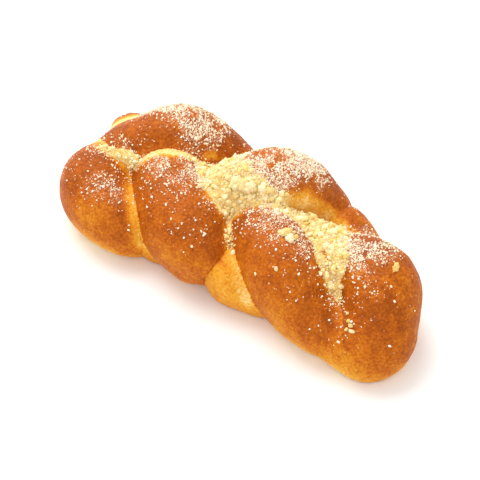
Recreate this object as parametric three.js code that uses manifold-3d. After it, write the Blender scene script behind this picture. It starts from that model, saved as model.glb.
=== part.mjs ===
// A three-strand braided sweet loaf, baked in one piece. Millimetres, +Z up, +X along the loaf,
// origin under its middle, on the tray.
// Every strand rises at the spine, swells over the top into a lobe, comes down at one side, folds
// under its neighbour and rises again, so the lobes lie by turns at the back (+Y) and the front (-Y).
// The strands have grown together in the oven, and the base is flat where it lay on the tray.
import * as THREE from "three";
import { mergeVertices } from "three/addons/utils/BufferGeometryUtils.js";
import Module from "manifold-3d";

const CRUST = { color: 0xc9702a, roughness: 0.45, metalness: 0 };

const FOLDS = {
  heel: { at: 0.62, depth: 5.5 },
  belly: { at: 0.2, depth: 6.5 },
  ridge: { at: 0.25, depth: 4 },
};
const FOLD_LENGTH = 0.16; // half a fold's length, in path steps

// One entry for each lobe, in its order along the loaf:
// side: +1 at the back, -1 at the front; along: where its crest lies; reach: how far the strand's
// centre runs out from the spine; height: of the strand's centre at the crest; girth: its radius there;
// root and waist: shares of the girth where it rises and where it comes down;
// lift: how much higher than the others it lies where it comes down, over its neighbours;
// fold: where it is pinched past the waist, as a share of the way to the tuck, and how much girth it loses.
const TAIL = { side: 1, along: -106, reach: 32, height: 23, girth: 17, root: 0.9, waist: 0.95 };
const HEEL = { side: -1, along: -98, reach: 38, height: 21, girth: 24, root: 0.9, waist: 0.85, fold: FOLDS.heel };
const CROWN = { side: 1, along: -69, reach: 39, height: 37, girth: 24, root: 0.8, waist: 0.9 };
const BELLY = {
  side: -1, along: -27, reach: 35, height: 25, girth: 26.5, root: 0.9, waist: 0.6, lift: 7, fold: FOLDS.belly,
};
const RIDGE = { side: 1, along: 6, reach: 46, height: 41, girth: 21.5, root: 0.9, waist: 0.78, fold: FOLDS.ridge };
const FLANK = { side: -1, along: 46, reach: 31, height: 29.5, girth: 23.5, root: 0.9, waist: 0.77 };
const BROW = { side: 1, along: 98, reach: 5, height: 32, girth: 23, root: 0.9, waist: 0.82 };

// How a strand travels: distances along the loaf from its crest, and shares of its reach and girth.
const RISE = { run: -27, height: 28, aside: 4 };
const CREST_REACH = 0.67;
const WAIST = { run: 25, height: 19 };
const TUCK = { run: 61, height: 12, reach: 0.72, girth: 0.68 };

// Below its middle a strand has sagged towards the tray: its lower half is stretched until it would
// reach this far below the tray, but by no more than this many times.
const SAG = { depth: 3, most: 1.4 };

// The inner mass of crumb that fills the spine between the strands, round at both ends.
const CORE = { length: 150, radius: 33, height: 36, capSteps: 8, sides: 28 };

const LOOK = 0.5; // path steps either way over which a strand takes its heading
const STEPS = 8; // rings of a strand from one path point to the next
const SIDES = 22; // corners of a ring
const CAP_STEPS = 5; // rings of a strand's round end
const SPLINE_TENSION = 0.5;
const TRAY = 400; // side of the block that cuts the base flat
const SAME_CORNER = 1e-4; // corners of a mesh this near to each other are one

const wasm = await Module();
wasm.setup();

// A point of a strand's path, with the strand's radius there.
function station(x, y, z, girth) {
  return { point: new THREE.Vector3(x, y, z), girth };
}

function rise(lobe) {
  return station(lobe.along + RISE.run, lobe.side * RISE.aside, RISE.height, lobe.girth * lobe.root);
}

function crest(lobe) {
  return station(lobe.along, lobe.side * lobe.reach * CREST_REACH, lobe.height, lobe.girth);
}

function waist(lobe) {
  return {
    ...station(
      lobe.along + WAIST.run,
      lobe.side * lobe.reach,
      WAIST.height + (lobe.lift ?? 0),
      lobe.girth * lobe.waist,
    ),
    fold: lobe.fold,
  };
}

function tuck(lobe) {
  const reach = lobe.side * lobe.reach * TUCK.reach;
  return station(lobe.along + TUCK.run, reach, TUCK.height, lobe.girth * TUCK.girth);
}

// The three strands, each from its pinched start at -X to its end in the round tip at +X, and last
// the dough that has risen between them and half fills the valley along the spine.
const STRANDS = [
  [
    station(-100, 0, 18, 20),
    crest(HEEL), waist(HEEL), tuck(HEEL),
    rise(RIDGE), crest(RIDGE), waist(RIDGE), tuck(RIDGE),
    station(77, 5, 9, 16), station(95, -18, 8, 15),
  ],
  [
    rise(CROWN), crest(CROWN), waist(CROWN), tuck(CROWN),
    rise(FLANK), crest(FLANK), waist(FLANK),
    station(107, -28, 9, 15),
  ],
  [
    crest(TAIL), waist(TAIL),
    rise(BELLY), crest(BELLY), waist(BELLY), tuck(BELLY),
    rise(BROW), crest(BROW),
    station(109, -17, 16, 24),
  ],
  [
    station(-74, 8, 22, 13), station(-40, 13, 26, 14), station(-8, 6, 27, 13),
    station(22, 9, 25, 14), station(50, 13, 24, 16), station(76, 20, 18, 14),
  ],
];

function spline(points) {
  return new THREE.CatmullRomCurve3(points, false, "catmullrom", SPLINE_TENSION);
}

// The strand's radius at t, from 0 at its start to 1 at its end, less what its folds pinch in.
function girthAlong(stations) {
  const girths = spline(stations.map((s) => new THREE.Vector3(s.girth, 0, 0)));
  const steps = stations.length - 1;
  return (t) =>
    stations.reduce((girth, s, i) => {
      if (s.fold === undefined) return girth;
      const off = (t * steps - i - s.fold.at) / FOLD_LENGTH;
      return girth - s.fold.depth * Math.exp(-off * off);
    }, girths.getPoint(t).x);
}

// The way the path heads at t, taken from a little before it to a little after.
function heading(path, t, look) {
  const after = path.getPoint(Math.min(t + look, 1));
  return after.sub(path.getPoint(Math.max(t - look, 0))).normalize();
}

// A strand's skin: a unit capsule bent along the strand's path and swollen to its girth.
function strandGeometry(stations) {
  const path = spline(stations.map((s) => s.point));
  const girth = girthAlong(stations);
  const steps = stations.length - 1;
  const geometry = new THREE.CapsuleGeometry(1, steps, CAP_STEPS, SIDES, steps * STEPS);
  const place = geometry.getAttribute("position");
  const up = new THREE.Vector3(0, 0, 1);
  for (let i = 0; i < place.count; i++) {
    const level = place.getY(i);
    const onPath = THREE.MathUtils.clamp(level, -steps / 2, steps / 2);
    const t = onPath / steps + 0.5;
    const ahead = heading(path, t, LOOK / steps);
    const aside = new THREE.Vector3().crossVectors(ahead, up).normalize();
    const above = new THREE.Vector3().crossVectors(aside, ahead);
    const spoke = aside
      .multiplyScalar(place.getX(i))
      .addScaledVector(ahead, level - onPath)
      .addScaledVector(above, place.getZ(i));
    const middle = path.getPoint(t);
    if (spoke.z < 0) spoke.z *= THREE.MathUtils.clamp((middle.z + SAG.depth) / girth(t), 1, SAG.most);
    const skin = middle.addScaledVector(spoke, girth(t));
    place.setXYZ(i, skin.x, skin.y, skin.z);
  }
  return geometry;
}

function coreGeometry() {
  return new THREE.CapsuleGeometry(CORE.radius, CORE.length, CORE.capSteps, CORE.sides)
    .rotateZ(Math.PI / 2)
    .scale(1, 1, CORE.height / CORE.radius);
}

// Everything below the tray's surface.
function trayGeometry() {
  return new THREE.BoxGeometry(TRAY, TRAY, TRAY).translate(0, 0, -TRAY / 2);
}

function toSolid(geometry) {
  const bare = new THREE.BufferGeometry()
    .setAttribute("position", geometry.getAttribute("position"))
    .setIndex(geometry.getIndex());
  const merged = mergeVertices(bare, SAME_CORNER);
  return new wasm.Manifold(
    new wasm.Mesh({
      numProp: 3,
      vertProperties: merged.getAttribute("position").array,
      triVerts: new Uint32Array(merged.getIndex().array),
    }),
  );
}

function toGeometry(solid) {
  const mesh = solid.getMesh();
  return new THREE.BufferGeometry()
    .setAttribute("position", new THREE.BufferAttribute(new Float32Array(mesh.vertProperties), 3))
    .setIndex(new THREE.BufferAttribute(new Uint32Array(mesh.triVerts), 1));
}

// The whole loaf: the strands joined with their crumb, cut flat at the tray and put over the origin.
function loafGeometry() {
  const joined = STRANDS.reduce(
    (loaf, stations) => loaf.add(toSolid(strandGeometry(stations))),
    toSolid(coreGeometry()),
  );
  const geometry = toGeometry(joined.subtract(toSolid(trayGeometry())));
  geometry.computeBoundingBox();
  const middle = geometry.boundingBox.getCenter(new THREE.Vector3());
  return geometry.translate(-middle.x, -middle.y, 0);
}

const loaf = new THREE.Mesh(loafGeometry(), new THREE.MeshStandardMaterial(CRUST));
loaf.name = "braided_loaf";

const group = new THREE.Group();
group.add(loaf);
export default group;
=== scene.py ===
"""The looks of a braided sweet loaf: its egg-washed crust, its pale creases and its crumbs.

Three strands of dough are plaited by one rule, grow together in the oven and brown where they
face the heat. Sugary crumbs lie deep in the creases and thin out over the crests. Everything is
in metres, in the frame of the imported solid; sizes are given in millimetres and turned by MM.
"""
import logging
import math
from dataclasses import dataclass, field
from enum import Enum
from typing import Any

import bpy
import numpy as np
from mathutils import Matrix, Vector


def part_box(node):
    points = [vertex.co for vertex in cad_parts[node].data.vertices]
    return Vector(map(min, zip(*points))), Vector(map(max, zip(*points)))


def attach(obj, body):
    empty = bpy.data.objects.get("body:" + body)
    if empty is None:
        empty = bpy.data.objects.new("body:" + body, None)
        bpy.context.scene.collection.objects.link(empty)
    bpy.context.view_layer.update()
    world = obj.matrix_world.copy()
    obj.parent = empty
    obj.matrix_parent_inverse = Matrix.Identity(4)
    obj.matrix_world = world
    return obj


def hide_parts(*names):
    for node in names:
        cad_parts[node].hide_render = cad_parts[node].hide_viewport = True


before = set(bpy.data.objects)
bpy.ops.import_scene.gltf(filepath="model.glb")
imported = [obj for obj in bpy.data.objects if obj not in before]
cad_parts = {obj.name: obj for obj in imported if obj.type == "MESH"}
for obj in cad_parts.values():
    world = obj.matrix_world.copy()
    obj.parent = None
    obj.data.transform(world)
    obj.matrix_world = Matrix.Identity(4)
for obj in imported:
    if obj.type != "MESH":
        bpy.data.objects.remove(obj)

MM = 0.001
LOAF_NODE = "braided_loaf"
BODY = "root"
LOG = logging.getLogger("braided_loaf")

# A Mix node has sockets for every type: these are its colours.
MIX_FIRST, MIX_SECOND, MIX_RESULT = 6, 7, 2


def linear(hex_colour: str) -> tuple[float, float, float, float]:
    """Turns an sRGB hex colour to linear light.

    Args:
        hex_colour: six hex digits, such as "c46a2b".

    Returns:
        Red, green, blue and an alpha of 1, as a shader's socket takes them.
    """
    parts = [int(hex_colour[i : i + 2], 16) / 255 for i in (0, 2, 4)]
    red, green, blue = (c / 12.92 if c <= 0.04045 else ((c + 0.055) / 1.055) ** 2.4 for c in parts)
    return red, green, blue, 1.0


def add_node(
    tree: bpy.types.NodeTree, kind: str, inputs: dict[Any, Any] | None = None, **settings: Any
) -> Any:
    """Adds one node with its settings, and fills or links its inputs.

    Args:
        tree: the shader or geometry tree.
        kind: the node's type name.
        inputs: for each socket's name or index, a value or the output socket that feeds it.
        settings: properties of the node, such as operation="ADD".

    Returns:
        The new node.
    """
    node = tree.nodes.new(kind)
    for name, value in settings.items():
        setattr(node, name, value)
    for key, value in (inputs or {}).items():
        if isinstance(value, bpy.types.NodeSocket):
            tree.links.new(value, node.inputs[key])
        else:
            node.inputs[key].default_value = value
    return node


def blank_material(name: str) -> bpy.types.Material:
    """Starts a material with an empty node tree.

    Args:
        name: the material's name.

    Returns:
        The material.
    """
    material = bpy.data.materials.new(name)
    material.use_nodes = True
    material.node_tree.nodes.clear()
    return material


def put(name: str, data: bpy.types.ID) -> bpy.types.Object:
    """Puts a mesh, a light or a camera in the scene.

    Args:
        name: the object's name.
        data: what it shows.

    Returns:
        The object.
    """
    item = bpy.data.objects.new(name, data)
    bpy.context.scene.collection.objects.link(item)
    return item


def smooth_step(low: float, high: float, value: np.ndarray) -> np.ndarray:
    """Eases from 0 at low to 1 at high.

    Args:
        low: where the step starts; above high for a falling step.
        high: where it ends.
        value: the numbers to step.

    Returns:
        The eased numbers, from 0 to 1.
    """
    t = np.clip((value - low) / (high - low), 0, 1)
    return t * t * (3 - 2 * t)


# --------------------------------------------------------------------------------------------
# The braid's rule
# --------------------------------------------------------------------------------------------


class Side(Enum):
    """The long side of the loaf where a lobe swells."""

    BACK = 1
    FRONT = -1


@dataclass(frozen=True)
class Fold:
    """A pinch past a strand's waist: where, as a share of the way to the tuck, and how deep in mm."""

    at: float
    depth: float


@dataclass(frozen=True)
class Station:
    """A point of a strand's path, in millimetres, with the strand's radius and fold there."""

    x: float
    y: float
    z: float
    girth: float
    fold: Fold | None = None


@dataclass(frozen=True)
class Lobe:
    """One swelling of a strand, where it lies on top of its neighbours. Millimetres and shares.

    side: where it swells. along: its crest's place on the loaf's length. reach: how far the
    strand's centre runs out from the spine. height: of the centre at the crest. girth: radius
    at the crest. root, waist: shares of the girth where it rises and where it comes down.
    lift: how much higher than the others it comes down, over its neighbours. fold: its pinch
    past the waist.
    """

    side: Side
    along: float
    reach: float
    height: float
    girth: float
    root: float = 0.9
    waist: float = 0.85
    lift: float = 0
    fold: Fold | None = None


@dataclass(frozen=True)
class BraidRule:
    """How every strand travels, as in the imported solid, in millimetres and shares.

    A run is a distance along the loaf from the crest; a reach or girth is a share of the lobe's.
    fold_length: half a fold's length, in stations. sag: how far below the tray a strand's lower
    half would reach, stretched by no more than most_sag times.
    """

    rise_run: float = -27
    rise_height: float = 28
    rise_aside: float = 4
    crest_reach: float = 0.67
    waist_run: float = 25
    waist_height: float = 19
    tuck_run: float = 61
    tuck_height: float = 12
    tuck_reach: float = 0.72
    tuck_girth: float = 0.68
    fold_length: float = 0.16
    sag: float = 3
    most_sag: float = 1.4

    def rise(self, lobe: Lobe) -> Station:
        """Returns where the strand comes up at the spine."""
        y = lobe.side.value * self.rise_aside
        return Station(lobe.along + self.rise_run, y, self.rise_height, lobe.girth * lobe.root)

    def crest(self, lobe: Lobe) -> Station:
        """Returns the top of the lobe."""
        y = lobe.side.value * lobe.reach * self.crest_reach
        return Station(lobe.along, y, lobe.height, lobe.girth)

    def waist(self, lobe: Lobe) -> Station:
        """Returns where the strand comes down at the side."""
        y, z = lobe.side.value * lobe.reach, self.waist_height + lobe.lift
        return Station(lobe.along + self.waist_run, y, z, lobe.girth * lobe.waist, lobe.fold)

    def tuck(self, lobe: Lobe) -> Station:
        """Returns where the strand lies folded under its neighbour."""
        y = lobe.side.value * lobe.reach * self.tuck_reach
        return Station(lobe.along + self.tuck_run, y, self.tuck_height, lobe.girth * self.tuck_girth)


@dataclass(frozen=True)
class Strand:
    """One strand of dough: a smooth path through its stations, with a swelling radius."""

    stations: tuple[Station, ...]
    rule: BraidRule

    # The radius of a dome's last ring, in millimetres: small, but enough to be closed.
    POLE = 0.05

    def sample(self, per_step: int) -> tuple[np.ndarray, np.ndarray]:
        """Samples the path as a uniform Catmull-Rom spline.

        Args:
            per_step: samples from one station to the next.

        Returns:
            The points, in millimetres, and the radius at each of them.
        """
        knots = np.array([(s.x, s.y, s.z, s.girth) for s in self.stations])
        knots = np.vstack([2 * knots[0] - knots[1], knots, 2 * knots[-1] - knots[-2]])
        steps = len(self.stations) - 1
        t = np.linspace(0, steps, steps * per_step + 1)
        i = np.minimum(t.astype(int), steps - 1)
        u = (t - i)[:, None]
        before, start, end, after = (knots[i + k] for k in range(4))
        path = 0.5 * (
            2 * start
            + (end - before) * u
            + (2 * before - 5 * start + 4 * end - after) * u**2
            + (3 * start - before - 3 * end + after) * u**3
        )
        girth = path[:, 3].copy()
        for index, station in enumerate(self.stations):
            if station.fold is not None:
                off = (t - index - station.fold.at) / self.rule.fold_length
                girth -= station.fold.depth * np.exp(-off * off)
        return path[:, :3], girth

    def with_round_ends(self, per_step: int, cap_rings: int) -> tuple[np.ndarray, np.ndarray]:
        """Samples the path and carries it on over a dome at either end.

        Args:
            per_step: samples from one station to the next.
            cap_rings: rings of a dome.

        Returns:
            The points, in millimetres, and the radius at each of them.
        """
        points, girth = self.sample(per_step)
        rise = np.linspace(0, math.pi / 2, cap_rings + 1)[1:]
        out, radius = [], []
        for end, inner in ((0, 1), (-1, -2)):
            ahead = points[end] - points[inner]
            ahead /= np.linalg.norm(ahead)
            out.append(points[end] + np.outer(np.sin(rise) * girth[end], ahead))
            radius.append(np.maximum(np.cos(rise) * girth[end], self.POLE))
        points = np.vstack([out[0][::-1], points, out[1]])
        return points, np.concatenate([radius[0][::-1], girth, radius[1]])


def plait(rule: BraidRule) -> list[Strand]:
    """Lays out the three strands, and the dough that has risen between and below them.

    Args:
        rule: how a strand travels.

    Returns:
        The three strands, each from the pinched end at -X to the round tip at +X, then the
        dough that half fills the valley along the spine, and the core.
    """
    tail = Lobe(Side.BACK, along=-106, reach=32, height=23, girth=17, waist=0.95)
    heel = Lobe(Side.FRONT, along=-98, reach=38, height=21, girth=24, fold=Fold(0.62, 5.5))
    crown = Lobe(Side.BACK, along=-69, reach=39, height=37, girth=24, root=0.8, waist=0.9)
    belly = Lobe(
        Side.FRONT, along=-27, reach=35, height=25, girth=26.5, waist=0.6, lift=7, fold=Fold(0.2, 6.5)
    )
    ridge = Lobe(Side.BACK, along=6, reach=46, height=41, girth=21.5, waist=0.78, fold=Fold(0.25, 4))
    flank = Lobe(Side.FRONT, along=46, reach=31, height=29.5, girth=23.5, waist=0.77)
    brow = Lobe(Side.BACK, along=98, reach=5, height=32, girth=23, waist=0.82)
    rise, crest, waist, tuck = rule.rise, rule.crest, rule.waist, rule.tuck
    heel_strand = (
        Station(-100, 0, 18, 20), crest(heel), waist(heel), tuck(heel),
        rise(ridge), crest(ridge), waist(ridge), tuck(ridge),
        Station(77, 5, 9, 16), Station(95, -18, 8, 15),
    )
    crown_strand = (
        rise(crown), crest(crown), waist(crown), tuck(crown),
        rise(flank), crest(flank), waist(flank), Station(107, -28, 9, 15),
    )
    belly_strand = (
        crest(tail), waist(tail), rise(belly), crest(belly), waist(belly), tuck(belly),
        rise(brow), crest(brow), Station(109, -17, 16, 24),
    )
    valley = (
        Station(-74, 8, 22, 13), Station(-40, 13, 26, 14), Station(-8, 6, 27, 13),
        Station(22, 9, 25, 14), Station(50, 13, 24, 16), Station(76, 20, 18, 14),
    )
    core = (Station(-75, 0, 3, 33), Station(0, 0, 3, 33), Station(75, 0, 3, 33))
    paths = (heel_strand, crown_strand, belly_strand, valley, core)
    return [Strand(stations, rule) for stations in paths]


# The plait's true strands come first. These two show dough past their folds at the front.
STRANDS = 3
HEEL_STRAND, BELLY_STRAND = 0, 2


# --------------------------------------------------------------------------------------------
# Shared numbers on a surface
# --------------------------------------------------------------------------------------------


@dataclass(frozen=True)
class Noise:
    """Smooth noise that is the same every time.

    seed: picks one noise among many. size: distance between two lumps, in millimetres.
    height: how far it goes either side of 0.
    """

    seed: int
    size: float
    height: float = 1.0

    # Lumps along a side of the block that repeats, and where in it the loaf's middle lies.
    SIDE = 32
    START = 100.0

    def __call__(self, points: np.ndarray) -> np.ndarray:
        """Reads the noise.

        Args:
            points: places, in millimetres.

        Returns:
            One number for each point.
        """
        values = np.random.default_rng(self.seed).uniform(-1, 1, (self.SIDE,) * 3)
        scaled = points / self.size + self.START
        cell = np.floor(scaled).astype(int)
        u = scaled - cell
        u = u * u * (3 - 2 * u)
        total = np.zeros(len(points))
        for corner in np.ndindex(2, 2, 2):
            i, j, k = ((cell[:, a] + corner[a]) % self.SIDE for a in range(3))
            weight = np.prod([u[:, a] if corner[a] else 1 - u[:, a] for a in range(3)], axis=0)
            total += weight * values[i, j, k]
        return self.height * total


def geometry_tree(name: str, inputs: dict[str, str]) -> tuple[bpy.types.NodeTree, Any]:
    """Starts a Geometry Nodes tree with named inputs and one geometry output.

    Args:
        name: the tree's name.
        inputs: for each input, its socket type, such as "NodeSocketFloat".

    Returns:
        The tree and its group input node.
    """
    tree = bpy.data.node_groups.new(name, "GeometryNodeTree")
    tree.interface.new_socket("Geometry", in_out="INPUT", socket_type="NodeSocketGeometry")
    for label, kind in inputs.items():
        tree.interface.new_socket(label, in_out="INPUT", socket_type=kind)
    tree.interface.new_socket("Geometry", in_out="OUTPUT", socket_type="NodeSocketGeometry")
    return tree, tree.nodes.new("NodeGroupInput")


def grow(
    source: bpy.types.Object, tree: bpy.types.NodeTree, values: dict[str, Any], name: str
) -> bpy.types.Object:
    """Runs a Geometry Nodes tree on an object and keeps the result as a plain mesh.

    Args:
        source: the object that the tree starts from.
        tree: the tree.
        values: for each named input, its value.
        name: the new object's name.

    Returns:
        The new object.
    """
    modifier = source.modifiers.new(tree.name, "NODES")
    modifier.node_group = tree
    for item in tree.interface.items_tree:
        if item.in_out == "INPUT" and item.name in values:
            modifier[item.identifier] = values[item.name]
    bpy.context.view_layer.update()
    graph = bpy.context.evaluated_depsgraph_get()
    mesh = bpy.data.meshes.new_from_object(
        source.evaluated_get(graph), preserve_all_data_layers=True, depsgraph=graph
    )
    source.modifiers.remove(modifier)
    mesh.name = name
    return put(name, mesh)


def coordinates(mesh: bpy.types.Mesh) -> np.ndarray:
    """Reads a mesh's points.

    Args:
        mesh: the mesh.

    Returns:
        The points, in millimetres, one row each.
    """
    flat = np.empty(len(mesh.vertices) * 3)
    mesh.vertices.foreach_get("co", flat)
    return flat.reshape(-1, 3) / MM


def normals(mesh: bpy.types.Mesh) -> np.ndarray:
    """Reads the way that a mesh faces at its points.

    Args:
        mesh: the mesh.

    Returns:
        The points' normals, one row each.
    """
    flat = np.empty(len(mesh.vertices) * 3)
    mesh.vertex_normals.foreach_get("vector", flat)
    return flat.reshape(-1, 3)


def move_to(mesh: bpy.types.Mesh, points: np.ndarray) -> None:
    """Moves a mesh's points.

    Args:
        mesh: the mesh.
        points: the new places, in millimetres, one row each.
    """
    mesh.vertices.foreach_set("co", (points * MM).ravel())
    mesh.update()


def store(mesh: bpy.types.Mesh, name: str, values: np.ndarray) -> None:
    """Keeps one number a point on a mesh, for its material and its crumbs.

    Args:
        mesh: the mesh.
        name: the attribute's name.
        values: one number for each point.
    """
    attribute = mesh.attributes.get(name) or mesh.attributes.new(name, "FLOAT", "POINT")
    attribute.data.foreach_set("value", values.astype(np.float32))


# --------------------------------------------------------------------------------------------
# The loaf
# --------------------------------------------------------------------------------------------


@dataclass
class Contact:
    """Where points lie among the strands. Distances are in millimetres.

    surface: signed distance to the joined dough. gap: how far off the next strand's skin is.
    under: 1 where the point's own strand dives below that next strand, 0 where it lies over it.
    filled: 1 on the dough that has risen in the valley between the strands. owner: the point's
    own strand, by its place in the plait. along: the place on that strand, in stations.
    """

    surface: np.ndarray
    gap: np.ndarray
    under: np.ndarray
    filled: np.ndarray
    owner: np.ndarray
    along: np.ndarray


@dataclass
class Dough:
    """The strands as one body whose skin can be measured from anywhere.

    shift: from the strands' own frame to the loaf's, in millimetres. per_step: samples from one
    station to the next. chunk: points measured at a time, which bounds the memory.
    """

    strands: list[Strand]
    shift: np.ndarray
    per_step: int = 24
    chunk: int = 12000
    axes: list[tuple[np.ndarray, np.ndarray]] = field(init=False)

    def __post_init__(self) -> None:
        """Samples every strand once."""
        self.axes = [strand.sample(self.per_step) for strand in self.strands]

    def distance(self, points: np.ndarray, strand: int) -> tuple[np.ndarray, np.ndarray, np.ndarray]:
        """Measures points against one strand's skin.

        Args:
            points: places, in millimetres, in the strands' own frame.
            strand: which one.

        Returns:
            The signed distance to its skin, the height of its centre there, and the place on it,
            counted in stations.
        """
        axis, girth = self.axes[strand]
        rule = self.strands[strand].rule
        ahead = np.diff(axis, axis=0)
        length = np.linalg.norm(ahead, axis=1)
        ahead /= length[:, None]
        skin, height, place = (np.empty(len(points)) for _ in range(3))
        for start in range(0, len(points), self.chunk):
            some = points[start : start + self.chunk]
            # A strand's lower half is stretched down to the tray, so it is measured squeezed back.
            offset = some[:, None, :] - axis[None, :, :]
            stretch = np.clip((axis[:, 2] + rule.sag) / girth, 1, rule.most_sag)[None, :]
            drop = np.where(offset[:, :, 2] < 0, offset[:, :, 2] / stretch, offset[:, :, 2])
            flat = offset[:, :, 0] ** 2 + offset[:, :, 1] ** 2
            far = np.sqrt(flat + drop**2) - girth[None, :]
            near = np.argmin(far, axis=1)
            rows = np.arange(len(some))
            best = far[rows, near]
            # Between two samples the nearest skin is found on the stretch that joins them.
            for side in (-1, 0):
                seg = np.clip(near + side, 0, len(ahead) - 1)
                off = offset[rows, seg].copy()
                off[:, 2] = drop[rows, seg]
                run = np.clip(np.einsum("ij,ij->i", off, ahead[seg]), 0, length[seg])
                share = run / length[seg]
                centre_off = off - ahead[seg] * run[:, None]
                radius = girth[seg] * (1 - share) + girth[seg + 1] * share
                best = np.minimum(best, np.linalg.norm(centre_off, axis=1) - radius)
            skin[start : start + self.chunk] = best
            height[start : start + self.chunk] = axis[near, 2]
            place[start : start + self.chunk] = near / self.per_step
        return skin, height, place

    def contact(self, points: np.ndarray, fillet: np.ndarray) -> Contact:
        """Measures points against all the strands.

        Args:
            points: places, in millimetres, in the loaf's frame.
            fillet: how widely the strands blend into each other at each point.

        Returns:
            Where the points lie.
        """
        local = points - self.shift
        measured = [self.distance(local, k) for k in range(len(self.strands))]
        skins = np.array([m[0] for m in measured])
        heights = np.array([m[1] for m in measured])
        places = np.array([m[2] for m in measured])
        rows = np.arange(len(points))
        order = np.argsort(skins, axis=0)
        first, second = skins[order[0], rows], skins[order[1], rows]
        blend = np.maximum(fillet - (second - first), 0) / fillet
        ropes = np.argsort(skins[:STRANDS], axis=0)
        gap = skins[ropes[1], rows] - skins[ropes[0], rows]
        higher = heights[ropes[1], rows] - heights[ropes[0], rows]
        return Contact(
            surface=first - blend**2 * fillet / 4,
            gap=gap,
            under=smooth_step(-3, 6, higher),
            filled=smooth_step(0, 2.5, skins[ropes[0], rows] - skins[STRANDS:].min(axis=0)),
            owner=ropes[0],
            along=places[ropes[0], rows],
        )


# Where crumbs have drifted together, in runs along the spine: place and half width, in millimetres.
DRIFTS = (
    ((-106, -17, 2), (-94, -14, 4), (-81, -10, 2)),
    (
        (-53, 5, 2), (-44, 9, 7), (-28, 9, 13), (-12, 2, 12), (2, 4, 9), (17, 7, 7), (34, 9, 8),
        (50, 9, 10), (64, -3, 7), (72, -14, 4), (78, -21, 2),
    ),
)
# A drift thins out between these shares of its half width, and its edge wanders more than a seam's.
THICK, BARE = 0.6, 1.2
WANDER = 1.3


def drift_cover(points: np.ndarray, ragged: np.ndarray, spill: float = 0.0) -> np.ndarray:
    """Says how thickly the drift of crumbs covers a place.

    Args:
        points: places, in millimetres.
        ragged: how far seams wander at each of them.
        spill: how far past its edge crumbs have rolled, in millimetres.

    Returns:
        From 0, bare, to 1, covered.
    """
    cover = np.zeros(len(points))
    for run in DRIFTS:
        for (x0, y0, w0), (x1, y1, w1) in zip(run, run[1:]):
            leg = np.array([x1 - x0, y1 - y0], float)
            off = points[:, :2] - (x0, y0)
            share = np.clip(off @ leg / (leg @ leg), 0, 1)
            away = np.linalg.norm(off - share[:, None] * leg, axis=1) + WANDER * ragged
            width = w0 + (w1 - w0) * share
            cover = np.maximum(cover, smooth_step(BARE * width + spill, THICK * width, away))
    return cover


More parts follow.
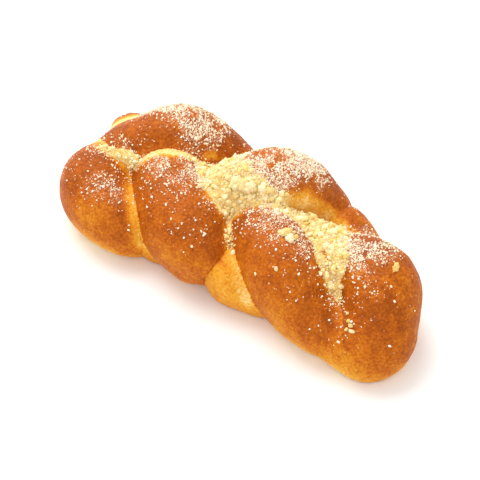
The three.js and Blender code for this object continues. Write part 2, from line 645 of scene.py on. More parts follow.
@dataclass
class Loaf:
    """The baked dough: one skin over three strands, with its folds, unevenness and crumb bed.

    Sizes are in millimetres. voxel: fineness of the skin. corners: of a strand's ring. per_step,
    cap_rings: rings from one station to the next and over a round end. seam_fillet,
    valley_fillet, tip_fillet: how widely strands have grown together at the sides, over the
    spine and at the tip. passes: how often the skin is drawn on to the dough. bed_depth,
    bed_lumps: how deep the bed of crumbs is, and how far its lumps go either side of that.
    """

    rule: BraidRule = field(default_factory=BraidRule)
    voxel: float = 1.12
    corners: int = 48
    per_step: int = 10
    cap_rings: int = 8
    seam_fillet: float = 2.2
    valley_fillet: float = 6.0
    tip_fillet: float = 18.0
    passes: int = 2
    bed_depth: float = 1.2
    bed_lumps: float = 1.4

    def build(self) -> bpy.types.Object:
        """Grows the strands, joins them into one skin and sculpts it.

        Returns:
            The loaf's skin.
        """
        strands = plait(self.rule)
        low, high = (np.array(corner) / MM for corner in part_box(LOAF_NODE))
        rough = self.grow_strands(strands)
        points = coordinates(rough.data)
        middle = (points.min(0) + points.max(0)) / 2
        shift = np.array([(low[0] + high[0]) / 2 - middle[0], (low[1] + high[1]) / 2 - middle[1], 0])
        self.sculpt(rough.data, points + shift, Dough(strands, shift))
        rough.data.shade_smooth()
        return rough

    def dress(self, skin: bpy.types.Object) -> None:
        """Gives the skin its crust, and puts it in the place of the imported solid.

        Args:
            skin: the loaf's skin.
        """
        skin.data.materials.clear()
        skin.data.materials.append(CrustFinish().material())
        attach(skin, BODY)
        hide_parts(LOAF_NODE)

    def grow_strands(self, strands: list[Strand]) -> bpy.types.Object:
        """Sweeps every strand and joins them into one closed skin.

        Args:
            strands: the strands.

        Returns:
            The skin, in the strands' own frame.
        """
        points, edges, girth, full = [], [], [], []
        for strand in strands:
            path, radius = strand.with_round_ends(self.per_step, self.cap_rings)
            first = len(points)
            points.extend(path * MM)
            edges.extend((first + i, first + i + 1) for i in range(len(path) - 1))
            girth.extend(radius)
            full.extend(np.pad(strand.sample(self.per_step)[1], self.cap_rings, mode="edge"))
        mesh = bpy.data.meshes.new("strand_paths")
        mesh.from_pydata([tuple(p) for p in points], edges, [])
        store(mesh, "girth", np.array(girth) * MM)
        store(mesh, "full_girth", np.array(full) * MM)
        store(mesh, "centre", np.array(points)[:, 2])
        paths = put("strand_paths", mesh)
        values = {"Corners": self.corners, "Sag": self.rule.sag * MM, "Most sag": self.rule.most_sag}
        swept = grow(paths, self.sweep_tree(), values, "swept_strands")
        remesh = swept.modifiers.new("skin", "REMESH")
        remesh.mode = "VOXEL"
        remesh.voxel_size = self.voxel * MM
        bpy.context.view_layer.update()
        graph = bpy.context.evaluated_depsgraph_get()
        skin = put("loaf_crust", bpy.data.meshes.new_from_object(swept.evaluated_get(graph)))
        for helper in (paths, swept):
            bpy.data.objects.remove(helper)
        return skin

    @staticmethod
    def sweep_tree() -> bpy.types.NodeTree:
        """Makes the tree that turns each path into a fat, sagging strand.

        Returns:
            The tree, with the inputs Corners, Sag and Most sag.
        """
        inputs = {"Corners": "NodeSocketInt", "Sag": "NodeSocketFloat", "Most sag": "NodeSocketFloat"}
        tree, group = geometry_tree("fat strands", inputs)
        kind = "GeometryNodeInputNamedAttribute"
        girth, full, centre = (
            add_node(tree, kind, {"Name": name}, data_type="FLOAT").outputs[0]
            for name in ("girth", "full_girth", "centre")
        )
        curve = add_node(tree, "GeometryNodeMeshToCurve", {"Mesh": group.outputs["Geometry"]})
        ring = add_node(
            tree,
            "GeometryNodeCurvePrimitiveCircle",
            {"Resolution": group.outputs["Corners"], "Radius": 1.0},
        )
        swept = add_node(
            tree,
            "GeometryNodeCurveToMesh",
            {
                "Curve": curve.outputs[0],
                "Profile Curve": ring.outputs["Curve"],
                "Scale": girth,
                "Fill Caps": True,
            },
        )
        place = add_node(tree, "GeometryNodeInputPosition")
        height = add_node(tree, "ShaderNodeSeparateXYZ", {0: place.outputs[0]})
        to_tray = add_node(tree, "ShaderNodeMath", {0: centre, 1: group.outputs["Sag"]}, operation="ADD")
        ratio = add_node(tree, "ShaderNodeMath", {0: to_tray.outputs[0], 1: full}, operation="DIVIDE")
        stretch = add_node(
            tree,
            "ShaderNodeClamp",
            {"Value": ratio.outputs[0], "Min": 1.0, "Max": group.outputs["Most sag"]},
        )
        extra = add_node(tree, "ShaderNodeMath", {0: stretch.outputs[0], 1: 1.0}, operation="SUBTRACT")
        drop = add_node(tree, "ShaderNodeMath", {0: height.outputs["Z"], 1: centre}, operation="SUBTRACT")
        below = add_node(tree, "ShaderNodeMath", {0: drop.outputs[0], 1: 0.0}, operation="MINIMUM")
        lower = add_node(
            tree, "ShaderNodeMath", {0: below.outputs[0], 1: extra.outputs[0]}, operation="MULTIPLY"
        )
        down = add_node(tree, "ShaderNodeCombineXYZ", {"Z": lower.outputs[0]})
        sagged = add_node(
            tree, "GeometryNodeSetPosition", {"Geometry": swept.outputs[0], "Offset": down.outputs[0]}
        )
        whole = add_node(tree, "GeometryNodeRealizeInstances", {0: sagged.outputs[0]})
        dressed = add_node(tree, "GeometryNodeSetMaterial", {"Geometry": whole.outputs[0]})
        add_node(tree, "NodeGroupOutput", {0: dressed.outputs[0]})
        return tree

    def fillet(self, points: np.ndarray) -> np.ndarray:
        """Says how widely the strands have grown together.

        Args:
            points: places, in millimetres.

        Returns:
            The width of the blend: narrow at the sides, wide over the spine and at the tip.
        """
        valley = smooth_step(16, 34, points[:, 2]) * smooth_step(34, 14, np.abs(points[:, 1]))
        tip = smooth_step(66, 96, points[:, 0]) * smooth_step(38, 20, points[:, 2])
        return (
            self.seam_fillet
            + (self.valley_fillet - self.seam_fillet) * valley
            + (self.tip_fillet - self.seam_fillet) * tip
        )

    def sculpt(self, mesh: bpy.types.Mesh, points: np.ndarray, dough: Dough) -> None:
        """Draws the rough skin on to the dough, makes it uneven, and marks its crumbs and browns.

        Args:
            mesh: the rough skin.
            points: its points, in millimetres, in the loaf's frame.
            dough: the strands as one body.
        """
        move_to(mesh, points)
        for _ in range(self.passes):
            facing = normals(mesh)
            points = points - facing * dough.contact(points, self.fillet(points)).surface[:, None]
            move_to(mesh, points)
        facing = normals(mesh)
        contact = dough.contact(points, self.fillet(points))
        swell, dimple, pucker = Noise(3, 26, 0.9), Noise(5, 9, 0.4), Noise(8, 3.4, 0.16)
        open_skin = smooth_step(1.5, 9, contact.gap)
        lift = (swell(points) + dimple(points) + pucker(points)) * open_skin
        bed = Sprinkling().bed(points, facing, contact)
        lumps = Noise(13, 5.0)(points) + Noise(17, 2.4, 0.6)(points)
        lift += bed * (self.bed_depth + self.bed_lumps * lumps)
        points = points + facing * lift[:, None]
        points[:, 2] = np.maximum(points[:, 2], 0)
        move_to(mesh, points)
        facing = normals(mesh)
        store(mesh, "bed", bed)
        store(mesh, "bake", Browning().shade(points, facing, contact))
        store(mesh, "powder", Sprinkling().powder(points, facing))
        store(mesh, "loose", Sprinkling().loose(points, facing, bed))


# --------------------------------------------------------------------------------------------
# Where the crumbs lie and the crust is brown: steps along the loaf (x), across it (y) and up (z),
# with limits in millimetres, or in the part of the skin's normal that faces up or back
# --------------------------------------------------------------------------------------------


@dataclass(frozen=True)
class Sprinkling:
    """How thickly crumbs and sugar lie, from 0, bare, to 1, covered.

    ragged: how far the edges of seams and drifts wander, in millimetres. seam: cover in a seam
    next to a drift. spill: how far past a drift crumbs have rolled, in millimetres, and spilt
    how thickly they lie there, against grains that were thrown. buried: share of the loose
    grains that the bed hides. heel, saddle: cover of two patches below the crests. front: what
    the front lobes lack.
    """

    ragged: float = 2.5
    seam: float = 0.75
    spill: float = 14.0
    spilt: float = 3.2
    buried: float = 0.8
    heel: float = 0.35
    saddle: float = 0.7
    front: float = 0.6

    def bed(self, points: np.ndarray, facing: np.ndarray, contact: Contact) -> np.ndarray:
        """Says where the crumbs lie as a solid bed: in the drifts, and in the seams next to them.

        Args:
            points: the skin's points, in millimetres.
            facing: their normals.
            contact: where they lie among the strands.

        Returns:
            From 0, bare, to 1, covered.
        """
        x, y, z = points.T
        ragged = Noise(21, 8, self.ragged)(points)
        drift = drift_cover(points, ragged)
        seam = smooth_step(6, 1.5, contact.gap + ragged) * smooth_step(26, 34, z + ragged)
        seam *= smooth_step(-34, -22, y) * smooth_step(86, 74, x)
        seam *= smooth_step(-50, -36, x)
        flat = smooth_step(0.1, 0.45, facing[:, 2])
        return np.maximum(self.seam * seam, drift) * flat

    def loose(self, points: np.ndarray, facing: np.ndarray, bed: np.ndarray) -> np.ndarray:
        """Says how thickly loose grains lie: thrown everywhere, and spilt next to the drifts.

        Args:
            points: the skin's points, in millimetres.
            facing: their normals.
            bed: how far the bed of crumbs covers them.

        Returns:
            From 0, none, to 1, or more where the drifts have spilt.
        """
        ragged = Noise(5, 7, self.ragged)(points)
        spilt = self.spilt * drift_cover(points, ragged, self.spill)
        thrown = smooth_step(-0.7, 0.9, Noise(5, 18)(points))
        upward = smooth_step(0.3, 0.95, facing[:, 2])
        return upward * np.maximum(thrown, spilt) * (1 - self.buried * bed)

    def powder(self, points: np.ndarray, facing: np.ndarray) -> np.ndarray:
        """Says how thickly fine sugar has settled.

        Args:
            points: the skin's points, in millimetres.
            facing: their normals.

        Returns:
            From 0, none, to 1, white with it: thickest on the crests next to the spine.
        """
        x, y, z = points.T
        level = facing[:, 2] + 0.15 * smooth_step(0, 8, y)
        top = smooth_step(40, 52, z) * smooth_step(0.5, 0.95, level) * smooth_step(-30, -16, y)
        # Less on the crown's inner wall, on the tip and on the front lobes.
        crown = 1 - smooth_step(-46, -62, x) * smooth_step(22, 8, y) * smooth_step(-6, -2, y)
        tip = smooth_step(102, 80, x)
        front = 1 - self.front * smooth_step(0, -10, y)
        # Two patches lower down: on the heel's top, and between the ridge and the brow.
        heel = self.heel * smooth_step(18, 6, np.hypot(x + 82, y + 41)) * smooth_step(34, 40, z)
        saddle = self.saddle * smooth_step(17, 8, np.hypot(x - 62, y - 30)) * smooth_step(20, 28, z)
        clouds = smooth_step(-0.9, 0.2, Noise(23, 13)(points))
        clouds *= smooth_step(-0.9, 0.3, Noise(29, 4.5)(points))
        return np.maximum(np.maximum(top * crown * tip * front, heel), saddle) * clouds


@dataclass(frozen=True)
class Browning:
    """How brown the crust gets, from 0, pale dough, to 1, deep brown.

    foot: at the tray. side: what it gains up the side. crest: what the tops gain. rim: what the
    feet of both ends lose. hidden: what dough that lay against dough loses. golden: the stretch
    past a fold, and golden_hidden what that loses in a seam. base: what the underside gains from
    the hot tray.
    """

    foot: float = 0.34
    side: float = 0.43
    crest: float = 0.11
    rim: float = 0.2
    hidden: float = 0.58
    golden: float = 0.44
    golden_hidden: float = 0.22
    base: float = 0.3

    def shade(self, points: np.ndarray, facing: np.ndarray, contact: Contact) -> np.ndarray:
        """Says how brown the crust is.

        Args:
            points: the skin's points, in millimetres.
            facing: their normals.
            contact: where they lie among the strands.

        Returns:
            From 0, pale dough, to 1, deep brown.
        """
        x, _, z = points.T
        upward = facing[:, 2]
        uneven = Noise(8, 28, 0.12)(points) + Noise(8, 9, 0.07)(points)
        side = smooth_step(0, 18, z)
        crest = smooth_step(0.1, 0.85, upward) * smooth_step(24, 40, z)
        low_end = smooth_step(30, 20, z + Noise(8, 16, 5)(points)) * smooth_step(42, 58, x)
        low_end *= smooth_step(116, 100, x)
        low_start = smooth_step(22, 8, z) * smooth_step(-52, -72, x)
        rim = self.rim * np.maximum(low_end, low_start)
        hidden, golden = self.unheated(points, facing, contact), self.past_folds(points, contact)
        baked = self.foot + self.side * side + self.crest * crest - rim + uneven - self.hidden * hidden
        covered = self.golden + uneven - self.golden_hidden * hidden
        base = self.base * smooth_step(-0.6, -0.95, upward) * smooth_step(4, 1, z)
        return np.clip(baked * (1 - golden) + covered * golden + base, 0, 1)

    @staticmethod
    def unheated(points: np.ndarray, facing: np.ndarray, contact: Contact) -> np.ndarray:
        """Says where dough was out of the heat: in the seams and in the valley along the spine.

        Args:
            points: the skin's points, in millimetres.
            facing: their normals.
            contact: where they lie among the strands.

        Returns:
            From 0, in the heat, to 1, or more where a seam is deep under the crown.
        """
        x, y, z = points.T
        # The valley's walls are hidden below a brim, which is lower towards the start.
        brim = 54 - 7 * smooth_step(-38, -54, x)
        wall = smooth_step(-0.1, -0.5, facing[:, 1]) * smooth_step(-14, -4, y)
        wall *= smooth_step(brim, brim - 8, z)
        lip = smooth_step(10, 2, contact.gap) * smooth_step(8, 20, z)
        sheltered = 1 + 0.7 * smooth_step(-40, -52, x) * smooth_step(-14, -5, y)
        hidden = np.maximum(np.maximum(contact.under * lip * sheltered, wall), contact.filled)
        # Towards the round tip the seams are shallow, and brown all the same.
        return hidden * (1 - 0.85 * smooth_step(56, 84, x) * smooth_step(40, 26, z))

    @staticmethod
    def past_folds(points: np.ndarray, contact: Contact) -> np.ndarray:
        """Says where a strand was covered by its neighbour while it browned, past its fold.

        Args:
            points: the skin's points, in millimetres.
            contact: where they lie among the strands.

        Returns:
            From 0, elsewhere, to 1, past the fold. Places along a strand are in stations.
        """
        _, y, z = points.T
        turn = contact.along + Noise(8, 6, 0.06)(points)
        belly = smooth_step(4.12, 4.22, turn) * smooth_step(6.2, 5.9, turn)
        heel = smooth_step(2.54, 2.64, turn) * smooth_step(4.2, 3.9, turn)
        covered = np.where(contact.owner == HEEL_STRAND, heel, 0)
        covered = np.where(contact.owner == BELLY_STRAND, belly, covered)
        return covered * (y < 0) * smooth_step(38, 30, z)


# --------------------------------------------------------------------------------------------
# Finishes
# --------------------------------------------------------------------------------------------


@dataclass(frozen=True)
class CrustFinish:
    """Egg-washed, oven-browned crust of enriched dough.

    The yolk wash leaves a thin satin film over skin that is pimpled by the proving bubbles, and
    the sugar in it browns from straw through amber to chestnut. Stretched dough in the creases
    saw less of the oven and stays pale yellow. The pattern sizes are those of real bubbles,
    blotches and sugar; dust_mm is a little coarser than real dust, so that it can be seen.
    """

    straw: str = "f3d083"
    gold: str = "e4a332"
    amber: str = "d5851a"
    tan: str = "b85d0c"
    chestnut: str = "934405"
    crumb_bed: str = "f0cf7c"
    powder: str = "f8e2c6"
    roughness: float = 0.5
    pimple_mm: float = 1.6
    fleck_mm: float = 1.5
    mottle_mm: float = 6.5
    dust_mm: float = 0.9
    dust_cover: float = 0.72

    def material(self) -> bpy.types.Material:
        """Builds the crust.

        Returns:
            The material.
        """
        material = blank_material("egg_washed_crust")
        tree = material.node_tree
        place = add_node(tree, "ShaderNodeTexCoord").outputs["Object"]
        bake, bed, sugar = (
            add_node(tree, "ShaderNodeAttribute", attribute_name=name).outputs["Fac"]
            for name in ("bake", "bed", "powder")
        )

        # Blotches where the oven was hotter, then flecks where single bubbles browned.
        brown = bake
        for size_mm, detail, spread in ((self.mottle_mm, 4.0, 0.1), (self.fleck_mm, 3.0, 0.15)):
            bubbles = add_node(
                tree,
                "ShaderNodeTexNoise",
                {"Vector": place, "Scale": 1 / (size_mm * MM), "Detail": detail},
            )
            change = add_node(
                tree,
                "ShaderNodeMapRange",
                {
                    "Value": bubbles.outputs["Fac"],
                    "From Min": 0.3,
                    "From Max": 0.7,
                    "To Min": -spread,
                    "To Max": spread,
                },
            )
            changed = add_node(tree, "ShaderNodeMath", {0: brown, 1: change.outputs[0]}, operation="ADD")
            brown = changed.outputs[0]
        ramp = add_node(tree, "ShaderNodeValToRGB", {"Fac": brown})
        browns = {
            0.04: self.straw, 0.26: self.gold, 0.5: self.amber, 0.76: self.tan, 1.0: self.chestnut
        }
        elements = ramp.color_ramp.elements
        while len(elements) < len(browns):
            elements.new(0)
        for element, (at, colour) in zip(elements, browns.items()):
            element.position = at
            element.color = linear(colour)

        # Sugar too fine to stand proud lies on the skin as small pale dots.
        dots = add_node(
            tree, "ShaderNodeTexNoise", {"Vector": place, "Scale": 1 / (self.dust_mm * MM), "Detail": 1.0}
        )
        speckle = add_node(
            tree, "ShaderNodeMapRange", {"Value": dots.outputs["Fac"], "From Min": 0.53, "From Max": 0.6}
        )
        dusted = add_node(
            tree, "ShaderNodeMath", {0: speckle.outputs[0], 1: sugar}, operation="MULTIPLY"
        )
        cover = add_node(
            tree, "ShaderNodeMath", {0: dusted.outputs[0], 1: self.dust_cover}, operation="MULTIPLY"
        )
        sugared = add_node(
            tree,
            "ShaderNodeMix",
            {
                "Factor": cover.outputs[0],
                MIX_FIRST: ramp.outputs["Color"],
                MIX_SECOND: linear(self.powder),
            },
            data_type="RGBA",
        )
        bedding = add_node(tree, "ShaderNodeMapRange", {"Value": bed, "From Min": 0.25, "From Max": 0.6})
        colour = add_node(
            tree,
            "ShaderNodeMix",
            {
                "Factor": bedding.outputs[0],
                MIX_FIRST: sugared.outputs[MIX_RESULT],
                MIX_SECOND: linear(self.crumb_bed),
            },
            data_type="RGBA",
        )

        # Pimples from the proving bubbles, over the flecks' own unevenness. Sugar dulls the film.
        pimples = add_node(
            tree,
            "ShaderNodeTexVoronoi",
            {"Vector": place, "Scale": 1 / (self.pimple_mm * MM), "Randomness": 1.0},
            feature="SMOOTH_F1",
        )
        fine = add_node(
            tree,
            "ShaderNodeBump",
            {"Strength": 0.85, "Distance": 0.55 * MM, "Height": pimples.outputs["Distance"]},
            invert=True,
        )
        broad = add_node(
            tree,
            "ShaderNodeBump",
            {
                "Strength": 0.7,
                "Distance": 0.8 * MM,
                "Height": bubbles.outputs["Fac"],
                "Normal": fine.outputs[0],
            },
        )
        dull = add_node(tree, "ShaderNodeMath", {0: dusted.outputs[0], 1: bed}, operation="MAXIMUM")
        rough = add_node(
            tree, "ShaderNodeMapRange", {"Value": dull.outputs[0], "To Min": self.roughness, "To Max": 0.9}
        )
        shader = add_node(
            tree,
            "ShaderNodeBsdfPrincipled",
            {
                "Base Color": colour.outputs[MIX_RESULT],
                "Roughness": rough.outputs[0],
                "IOR": 1.45,
                "Specular IOR Level": 0.13,
                "Normal": broad.outputs[0],
            },
        )
        add_node(tree, "ShaderNodeOutputMaterial", {"Surface": shader.outputs[0]})
        return material


@dataclass(frozen=True)
class CrumbFinish:
    """Butter streusel or sugar: pale, grainy and dry, a little translucent at its thin edges.

    light, dark: the tones that crumbs lie between. grain_mm: the grain on a crumb's own skin.
    """

    name: str
    light: str
    dark: str
    grain_mm: float = 0.5

    def material(self) -> bpy.types.Material:
        """Builds the crumb's material; each crumb has its own tone.

        Returns:
            The material.
        """
        material = blank_material(self.name)
        tree = material.node_tree
        place = add_node(tree, "ShaderNodeTexCoord")
        tone = add_node(tree, "ShaderNodeAttribute", attribute_name="tone")
        grain = add_node(
            tree,
            "ShaderNodeTexNoise",
            {"Vector": place.outputs["Object"], "Scale": 1 / (self.grain_mm * MM), "Detail": 2.0},
        )
        colour = add_node(
            tree,
            "ShaderNodeMix",
            {
                "Factor": tone.outputs["Fac"],
                MIX_FIRST: linear(self.light),
                MIX_SECOND: linear(self.dark),
            },
            data_type="RGBA",
        )
        bump = add_node(
            tree,
            "ShaderNodeBump",
            {"Strength": 0.5, "Distance": 0.25 * MM, "Height": grain.outputs["Fac"]},
        )
        shader = add_node(
            tree,
            "ShaderNodeBsdfPrincipled",
            {
                "Base Color": colour.outputs[MIX_RESULT],
                "Roughness": 0.85,
                "Subsurface Weight": 0.15,
                "Subsurface Radius": (1.0, 0.7, 0.35),
                "Subsurface Scale": 0.8 * MM,
                "Normal": bump.outputs[0],
            },
        )
        add_node(tree, "ShaderNodeOutputMaterial", {"Surface": shader.outputs[0]})
        return material


# --------------------------------------------------------------------------------------------
# Crumbs
# --------------------------------------------------------------------------------------------


class Spread(Enum):
    """How crumbs are laid out."""

    SCATTERED = "scattered over the skin, as thickly as one of its attributes says"
    PLACED = "one on each point"


class Draw(Enum):
    """What is drawn at random for each crumb."""

    STRETCH = 1
    TURN = 2
    SHAPE = 3
    TONE = 4
    SIZE = 5


@dataclass
class Crumbs:
    """One kind of crumb: irregular lumps of true size, joined into one piece.

    name: the piece's name. spread: how they are laid. smallest, largest: their sizes in
    millimetres. layer: the attribute that says how thickly they lie. density: most crumbs on a
    square centimetre. bias: how much commoner small ones are. facets: subdivisions of a lump.
    ruggedness: how far its bumps stand out, and bump_share how far apart they are, as shares of
    its size. lift: how far its middle stands off the skin, as a share of its size. shapes: how
    many different lumps there are. slimmest, stoutest: the least and most stretch each way.
    """

    name: str
    spread: Spread
    material: bpy.types.Material
    seed: int
    smallest: float = 0.0
    largest: float = 0.0
    layer: str = ""
    density: float = 0.0
    bias: float = 2.0
    facets: int = 1
    ruggedness: float = 0.5
    bump_share: float = 0.6
    lift: float = 0.2
    shapes: int = 8
    slimmest: tuple[float, float, float] = (0.6, 0.6, 0.5)
    stoutest: tuple[float, float, float] = (1.3, 1.2, 1.0)

    # Square centimetres in a square metre, how far apart two lumps are cut from the noise, and
    # how many seeds each kind of crumb has for its draws.
    CM2 = 1e4
    APART = 7.3
    SEEDS = 10

    def build(self, source: bpy.types.Object) -> bpy.types.Object:
        """Lays the crumbs.

        Args:
            source: the loaf's skin, or for placed crumbs a mesh of one point each.

        Returns:
            The crumbs, as one object.
        """
        values = {
            "Density": self.density * self.CM2,
            "Smallest": self.smallest * MM,
            "Largest": self.largest * MM,
        }
        return grow(source, self.tree(), values, self.name)

    def draws(self, tree: bpy.types.NodeTree) -> dict[Draw, Any]:
        """Draws what is random for each crumb, each with its own seed.

        Args:
            tree: the tree.

        Returns:
            For each draw, the socket that gives it. Placed crumbs leave the size unused.
        """
        # A Random Value node has sockets for every type. For each draw: the type, the limits at
        # that type's sockets, and its output.
        ranges = {
            Draw.STRETCH: ("FLOAT_VECTOR", {0: self.slimmest, 1: self.stoutest}, 0),
            Draw.TURN: ("FLOAT_VECTOR", {0: (0.0,) * 3, 1: (math.tau,) * 3}, 0),
            Draw.SHAPE: ("INT", {4: 0, 5: self.shapes - 1}, 2),
            Draw.TONE: ("FLOAT", {2: 0.0, 3: 1.0}, 1),
            Draw.SIZE: ("FLOAT", {2: 0.0, 3: 1.0}, 1),
        }
        drawn = {}
        for draw, (kind, limits, output) in ranges.items():
            inputs = {**limits, "Seed": self.seed * self.SEEDS + draw.value}
            node = add_node(tree, "FunctionNodeRandomValue", inputs, data_type=kind)
            drawn[draw] = node.outputs[output]
        return drawn

    def tree(self) -> bpy.types.NodeTree:
        """Makes the tree that lays the crumbs.

        Returns:
            The tree, with the inputs Density, Smallest and Largest.
        """
        sizes = ("Density", "Smallest", "Largest")
        tree, group = geometry_tree(self.name, {name: "NodeSocketFloat" for name in sizes})
        drawn = self.draws(tree)
        points, outward = self.spots(tree, group)
        sized = add_node(
            tree,
            "GeometryNodeStoreNamedAttribute",
            {"Geometry": points, "Name": "size", "Value": self.size(tree, group, drawn[Draw.SIZE])},
            data_type="FLOAT",
            domain="POINT",
        )
        size = add_node(
            tree, "GeometryNodeInputNamedAttribute", {"Name": "size"}, data_type="FLOAT"
        ).outputs[0]
        stand = add_node(tree, "ShaderNodeMath", {0: size, 1: self.lift}, operation="MULTIPLY")
        step = add_node(
            tree, "ShaderNodeVectorMath", {0: outward, "Scale": stand.outputs[0]}, operation="SCALE"
        )
        raised = add_node(
            tree, "GeometryNodeSetPosition", {"Geometry": sized.outputs[0], "Offset": step.outputs[0]}
        )
        scale = add_node(
            tree, "ShaderNodeVectorMath", {0: drawn[Draw.STRETCH], "Scale": size}, operation="SCALE"
        )
        laid = add_node(
            tree,
            "GeometryNodeInstanceOnPoints",
            {
                "Points": raised.outputs[0],
                "Instance": self.lumps(tree),
                "Pick Instance": True,
                "Instance Index": drawn[Draw.SHAPE],
                "Rotation": drawn[Draw.TURN],
                "Scale": scale.outputs[0],
            },
        )
        toned = add_node(
            tree,
            "GeometryNodeStoreNamedAttribute",
            {"Geometry": laid.outputs[0], "Name": "tone", "Value": drawn[Draw.TONE]},
            data_type="FLOAT",
            domain="INSTANCE",
        )
        whole = add_node(tree, "GeometryNodeRealizeInstances", {0: toned.outputs[0]})
        smooth = add_node(
            tree, "GeometryNodeSetShadeSmooth", {"Geometry": whole.outputs[0], "Shade Smooth": True}
        )
        dressed = add_node(
            tree, "GeometryNodeSetMaterial", {"Geometry": smooth.outputs[0], "Material": self.material}
        )
        add_node(tree, "NodeGroupOutput", {0: dressed.outputs[0]})
        return tree

    def spots(self, tree: bpy.types.NodeTree, group: Any) -> tuple[Any, Any]:
        """Finds the spots where crumbs lie.

        Args:
            tree: the tree.
            group: its group input node.

        Returns:
            The sockets that give the spots and the way that the skin faces there.
        """
        if self.spread is Spread.PLACED:
            points = add_node(tree, "GeometryNodeMeshToPoints", {"Mesh": group.outputs["Geometry"]})
            outward = add_node(
                tree, "GeometryNodeInputNamedAttribute", {"Name": "outward"}, data_type="FLOAT_VECTOR"
            )
            return points.outputs[0], outward.outputs[0]
        share = add_node(
            tree, "GeometryNodeInputNamedAttribute", {"Name": self.layer}, data_type="FLOAT"
        )
        dense = add_node(
            tree,
            "ShaderNodeMath",
            {0: share.outputs[0], 1: group.outputs["Density"]},
            operation="MULTIPLY",
        )
        points = add_node(
            tree,
            "GeometryNodeDistributePointsOnFaces",
            {"Mesh": group.outputs["Geometry"], "Density": dense.outputs[0], "Seed": self.seed},
        )
        return points.outputs[0], points.outputs["Normal"]

    def size(self, tree: bpy.types.NodeTree, group: Any, chance: Any) -> Any:
        """Turns chance into each crumb's size, or for placed crumbs reads the size.

        Args:
            tree: the tree.
            group: its group input node.
            chance: the socket that gives each crumb's draw, from 0 to 1.

        Returns:
            The socket that gives the size.
        """
        if self.spread is Spread.PLACED:
            given = add_node(
                tree, "GeometryNodeInputNamedAttribute", {"Name": "size"}, data_type="FLOAT"
            )
            return given.outputs[0]
        rare = add_node(tree, "ShaderNodeMath", {0: chance, 1: self.bias}, operation="POWER")
        inputs = {
            "Value": rare.outputs[0],
            "To Min": group.outputs["Smallest"],
            "To Max": group.outputs["Largest"],
        }
        return add_node(tree, "ShaderNodeMapRange", inputs).outputs["Result"]

    def lumps(self, tree: bpy.types.NodeTree) -> Any:
        """Makes a few different lumps, 1 m across, to pick from.

        Args:
            tree: the tree.

        Returns:
            The socket that gives them as instances.
        """
        ball = add_node(
            tree, "GeometryNodeMeshIcoSphere", {"Radius": 0.5, "Subdivisions": self.facets}
        )
        join = add_node(tree, "GeometryNodeJoinGeometry")
        outward = add_node(tree, "GeometryNodeInputNormal")
        for shape in range(self.shapes):
            noise = add_node(
                tree,
                "ShaderNodeTexNoise",
                {
                    "W": shape * self.APART + self.seed,
                    "Scale": 1 / self.bump_share,
                    "Detail": 4.0,
                    "Roughness": 0.7,
                },
                noise_dimensions="4D",
            )
            swell = add_node(
                tree,
                "ShaderNodeMapRange",
                {
                    "Value": noise.outputs["Fac"],
                    "From Min": 0.25,
                    "From Max": 0.75,
                    "To Min": -self.ruggedness / 2,
                    "To Max": self.ruggedness / 2,
                },
            )
            push = add_node(
                tree,
                "ShaderNodeVectorMath",
                {0: outward.outputs[0], "Scale": swell.outputs["Result"]},
                operation="SCALE",
            )
            lump = add_node(
                tree,
                "GeometryNodeSetPosition",
                {"Geometry": ball.outputs["Mesh"], "Offset": push.outputs[0]},
            )
            one = add_node(tree, "GeometryNodeGeometryToInstance", {0: lump.outputs[0]})
            tree.links.new(one.outputs[0], join.inputs[0])
        return join.outputs[0]


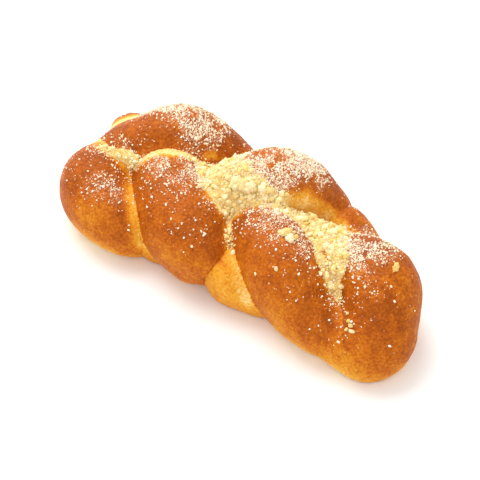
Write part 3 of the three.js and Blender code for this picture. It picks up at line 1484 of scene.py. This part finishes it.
@dataclass
class Streusel:
    """All that is scattered on the loaf, from fine sugar to the few big clumps."""

    skin: bpy.types.Object

    # The few clumps that stand alone: place on the loaf's plan and size across, in millimetres.
    # A group on the flank, one across the bed, one on the brow, and crumbs that rolled down.
    CLUMPS = (
        (36.7, -14.9, 6.5), (39.6, -16.8, 5.0), (34.0, -15.6, 4.5), (37.4, -12.0, 4.0),
        (40.8, -13.8, 3.5),
        (-13.5, 2.0, 7.5), (-8.5, 3.0, 8.0), (-3.5, 4.0, 7.0), (2.6, 7.0, 6.0), (6.0, 9.0, 4.5),
        (101.7, 1.2, 4.2),
        (43.9, -36.4, 2.6), (33.3, -41.5, 2.0), (95.0, -34.4, 3.2), (97.5, -36.5, 2.6),
        (92.5, -32.6, 2.4), (94.0, -37.0, 2.0), (89.0, -29.0, 1.9),
    )

    # Skin that faces up at least this much can hold a clump.
    UPWARD = 0.1

    def build(self) -> list[bpy.types.Object]:
        """Lays every kind of crumb, dressed, and rides it on the loaf.

        Returns:
            The pieces, one for each kind.
        """
        butter = CrumbFinish("butter_streusel", light="feefc0", dark="efca6c").material()
        sugar = CrumbFinish("sugar_crumb", light="fff3e0", dark="f6dab0").material()
        kinds = [
            Crumbs(
                "streusel_crumbs", Spread.SCATTERED, butter, seed=31, smallest=0.9, largest=4.0,
                layer="bed", density=38.0, bias=3.2, facets=2, ruggedness=0.95,
            ),
            Crumbs(
                "streusel_grains", Spread.SCATTERED, butter, seed=37, smallest=0.5, largest=1.4,
                layer="bed", density=130.0, bias=1.5, facets=1, ruggedness=0.5,
            ),
            Crumbs(
                "loose_grains", Spread.SCATTERED, sugar, seed=41, smallest=0.5, largest=1.7,
                layer="loose", density=13.0, bias=3.0, facets=2, ruggedness=0.6,
            ),
            Crumbs(
                "sugar_dust", Spread.SCATTERED, sugar, seed=43, smallest=0.5, largest=1.7,
                layer="powder", density=190.0, bias=2.6, facets=1, ruggedness=0.7,
            ),
        ]
        pieces = [kind.build(self.skin) for kind in kinds]
        clumps = Crumbs(
            "streusel_clumps", Spread.PLACED, butter, seed=47, facets=4, ruggedness=0.8, bump_share=0.3
        )
        places = self.clump_places()
        pieces.append(clumps.build(places))
        bpy.data.objects.remove(places)
        for piece in pieces:
            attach(piece, BODY)
        return pieces

    def clump_places(self) -> bpy.types.Object:
        """Finds the skin under each clump that stands alone.

        Returns:
            A mesh of one point for each clump, with its size and the way that the skin faces.
        """
        points, facing = coordinates(self.skin.data), normals(self.skin.data)
        upper = np.flatnonzero(facing[:, 2] > self.UPWARD)
        found = []
        for x, y, _ in self.CLUMPS:
            off = np.hypot(points[upper, 0] - x, points[upper, 1] - y)
            found.append(int(upper[np.argmin(off)]))
        mesh = bpy.data.meshes.new("clump_places")
        mesh.from_pydata([tuple(points[i] * MM) for i in found], [], [])
        store(mesh, "size", np.array([clump[2] for clump in self.CLUMPS]) * MM)
        outward = mesh.attributes.new("outward", "FLOAT_VECTOR", "POINT")
        outward.data.foreach_set("vector", facing[found].astype(np.float32).ravel())
        return put("clump_places", mesh)


# --------------------------------------------------------------------------------------------
# The studio
# --------------------------------------------------------------------------------------------


@dataclass
class Studio:
    """A pale floor under a broad soft light, seen from above the loaf's front side.

    Angles are in degrees, lengths in millimetres. azimuth turns the camera from the front side
    towards +X. aim: the point of the loaf that it looks at, and aim_right, aim_up how far beside
    and above that, as it sees them. clip: the nearest and farthest that it sees, in metres.
    floor_half, floor_drop: half the floor's side, and how far it lies below the base, so that
    the two never fight. sky: the strength of the light from all round.
    """

    azimuth: float = 36.3
    elevation: float = 48.2
    distance: float = 812.0
    focal: float = 97.5
    aim: tuple[float, float, float] = (-4.9, -2.05, 20.0)
    aim_right: float = -2.06
    aim_up: float = -6.25
    clip: tuple[float, float] = (0.01, 20.0)
    floor_half: float = 3000.0
    floor_drop: float = 0.3
    sky: float = 0.92

    def build(self) -> None:
        """Lays the floor, hangs the lights and sets up the camera."""
        self.lay_floor()
        self.light()
        self.place_camera()
        view = bpy.context.scene.view_settings
        view.view_transform = "Standard"
        view.look = "None"

    def lay_floor(self) -> None:
        """Lays a wide pale floor just under the loaf's base."""
        mesh = bpy.data.meshes.new("studio_floor")
        half, below = self.floor_half * MM, -self.floor_drop * MM
        corners = [(x * half, y * half, below) for x, y in ((-1, -1), (1, -1), (1, 1), (-1, 1))]
        mesh.from_pydata(corners, [], [(0, 1, 2, 3)])
        floor = put("studio_floor", mesh)
        # Matt white paper: no gloss, so only the loaf's soft shadow shows on it.
        material = bpy.data.materials.new("matt_white_paper")
        material.use_nodes = True
        shader = material.node_tree.nodes["Principled BSDF"]
        shader.inputs["Base Color"].default_value = linear("f7f6f4")
        shader.inputs["Roughness"].default_value = 0.9
        mesh.materials.append(material)

    def light(self) -> None:
        """Hangs a large key light, a fill and a pale sky."""
        self.lamp("key_softbox", place=(-0.75, 0.35, 1.1), size=1.1, power=17.5)
        self.lamp("fill_softbox", place=(0.6, -1.0, 0.7), size=1.2, power=3.5)
        world = bpy.data.worlds.new("pale_room")
        world.use_nodes = True
        background = world.node_tree.nodes["Background"]
        background.inputs["Color"].default_value = linear("ffffff")
        background.inputs["Strength"].default_value = self.sky
        bpy.context.scene.world = world

    @staticmethod
    def lamp(name: str, place: tuple[float, float, float], size: float, power: float) -> None:
        """Hangs one square soft light that faces the loaf.

        Args:
            name: the light's name.
            place: where it hangs, in metres.
            size: its side, in metres.
            power: its power, in watts.
        """
        data = bpy.data.lights.new(name, "AREA")
        data.size = size
        data.energy = power
        lamp = put(name, data)
        lamp.location = place
        lamp.rotation_euler = (-Vector(place)).to_track_quat("-Z", "Y").to_euler()

    def place_camera(self) -> None:
        """Sets the camera at its angle, so that the loaf fills the middle of the frame."""
        turn, rise = math.radians(self.azimuth), math.radians(self.elevation)
        level = math.cos(rise)
        back = Vector((math.sin(turn) * level, -math.cos(turn) * level, math.sin(rise)))
        right = Vector((math.cos(turn), math.sin(turn), 0))
        up = back.cross(right)
        target = Vector(self.aim) + right * self.aim_right + up * self.aim_up
        data = bpy.data.cameras.new("camera")
        data.lens = self.focal
        data.clip_start, data.clip_end = self.clip
        camera = put("camera", data)
        camera.location = (target + back * self.distance) * MM
        camera.rotation_euler = back.to_track_quat("Z", "Y").to_euler()
        bpy.context.scene.camera = camera


def main() -> None:
    """Sets up the studio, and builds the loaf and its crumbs."""
    logging.basicConfig(level=logging.INFO, format="%(name)s: %(message)s")
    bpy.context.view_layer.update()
    Studio().build()
    loaf = Loaf()
    skin = loaf.build()
    loaf.dress(skin)
    for piece in [skin, *Streusel(skin).build()]:
        LOG.info("%s: %d faces", piece.name, len(piece.data.polygons))


if __name__ == "__main__":
    main()
